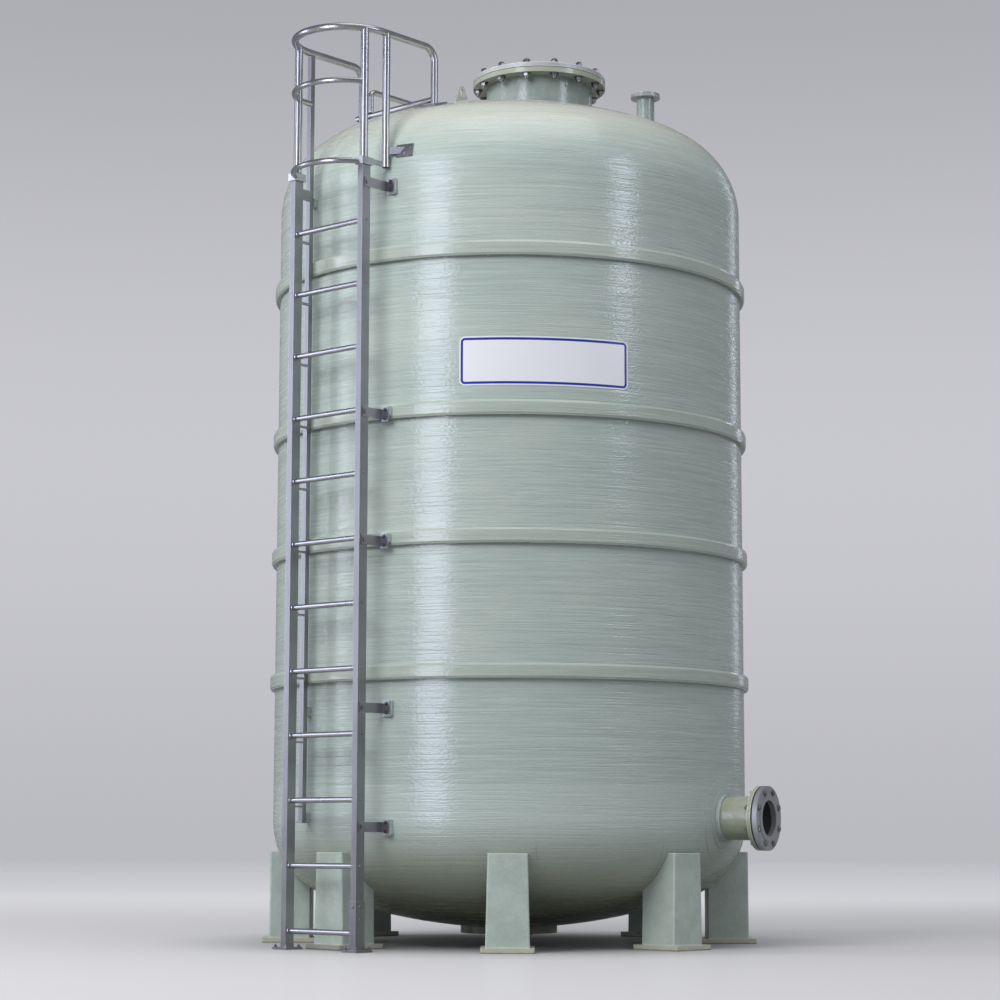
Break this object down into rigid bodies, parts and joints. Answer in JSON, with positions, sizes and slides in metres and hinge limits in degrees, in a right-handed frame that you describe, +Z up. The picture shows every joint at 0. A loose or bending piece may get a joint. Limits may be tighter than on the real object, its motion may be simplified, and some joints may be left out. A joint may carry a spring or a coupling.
{
  "type": "water tank",
  "caption": "Upright glass-fibre water tank with dished ends, stiffening ribs, moulded legs, bolted manway, vent, flanged side outlet and a bolted ladder with walk-through handrail.",
  "frame": {"origin": "on the tank's axis at floor level, the centre of the circle of outer anchor holes", "axes": "+Z up along the tank's axis, the ladder on the -Y side, the outlet near +X turned 13.4 degrees towards +Y"},
  "size_m": [2.4561, 2.5109, 4.2051],
  "materials": {
    "frp_shell": "glossy translucent grey-green laminate, fine wound texture",
    "frp_dome": "glossy pale laminate",
    "frp_dish": "glossy grey-green laminate",
    "frp_rib": "glossy laminate, resin rich",
    "frp_leg": "satin moulded laminate",
    "frp_fitting": "glossy moulded laminate",
    "frp_lid": "satin pale grey laminate",
    "gasket": "black rubber sheet",
    "fastener": "bright stainless",
    "flange_metal": "turned stainless",
    "stainless_square": "satin stainless",
    "stainless_round": "polished stainless"
  },
  "bodies": {
    "root": {"base_bar": "stainless_round", "bottom_dish": "frp_dish", "bracket_bolts": "fastener", "bracket_pads": "frp_fitting", "front_posts": "stainless_round", "grab_rail": "stainless_round", "hoop_rib_1": "frp_rib", "hoop_rib_2": "frp_rib", "hoop_rib_3": "frp_rib", "hoop_rib_4": "frp_rib", "ladder_feet": "stainless_square", "leg_1": "frp_leg", "leg_2": "frp_leg", "leg_3": "frp_leg", "leg_4": "frp_leg", "leg_5": "frp_leg", "leg_6": "frp_leg", "leg_7": "frp_leg", "leg_8": "frp_leg", "lifting_lug_front": "frp_fitting", "lifting_lug_rear": "frp_fitting", "low_hoop": "stainless_round", "manway_bolts": "fastener", "manway_collar": "frp_fitting", "manway_gasket": "gasket", "manway_lid": "frp_lid", "manway_neck": "frp_fitting", "manway_nuts": "fastener", "mid_hoop": "stainless_round", "outlet_bolts": "fastener", "outlet_flange": "flange_metal", "outlet_gasket": "gasket", "outlet_neck": "frp_fitting", "outlet_nuts": "fastener", "outlet_pad": "frp_fitting", "pole_pad": "frp_dish", "rail_feet": "stainless_round", "rail_ties": "stainless_square", "rear_rail": "stainless_square", "rung_01": "stainless_round", "rung_02": "stainless_round", "rung_03": "stainless_round", "rung_04": "stainless_round", "rung_05": "stainless_round", "rung_06": "stainless_round", "rung_07": "stainless_round", "rung_08": "stainless_round", "rung_09": "stainless_round", "rung_10": "stainless_round", "rung_11": "stainless_round", "rung_12": "stainless_round", "shell_wall": "frp_shell", "side_post": "stainless_round", "stringer_left": "stainless_square", "stringer_right": "stainless_square", "top_dome": "frp_dome", "top_rail": "stainless_round", "vent_neck": "frp_fitting", "vent_ring": "flange_metal", "wall_brackets": "stainless_square"}
  },
  "joints": []
}
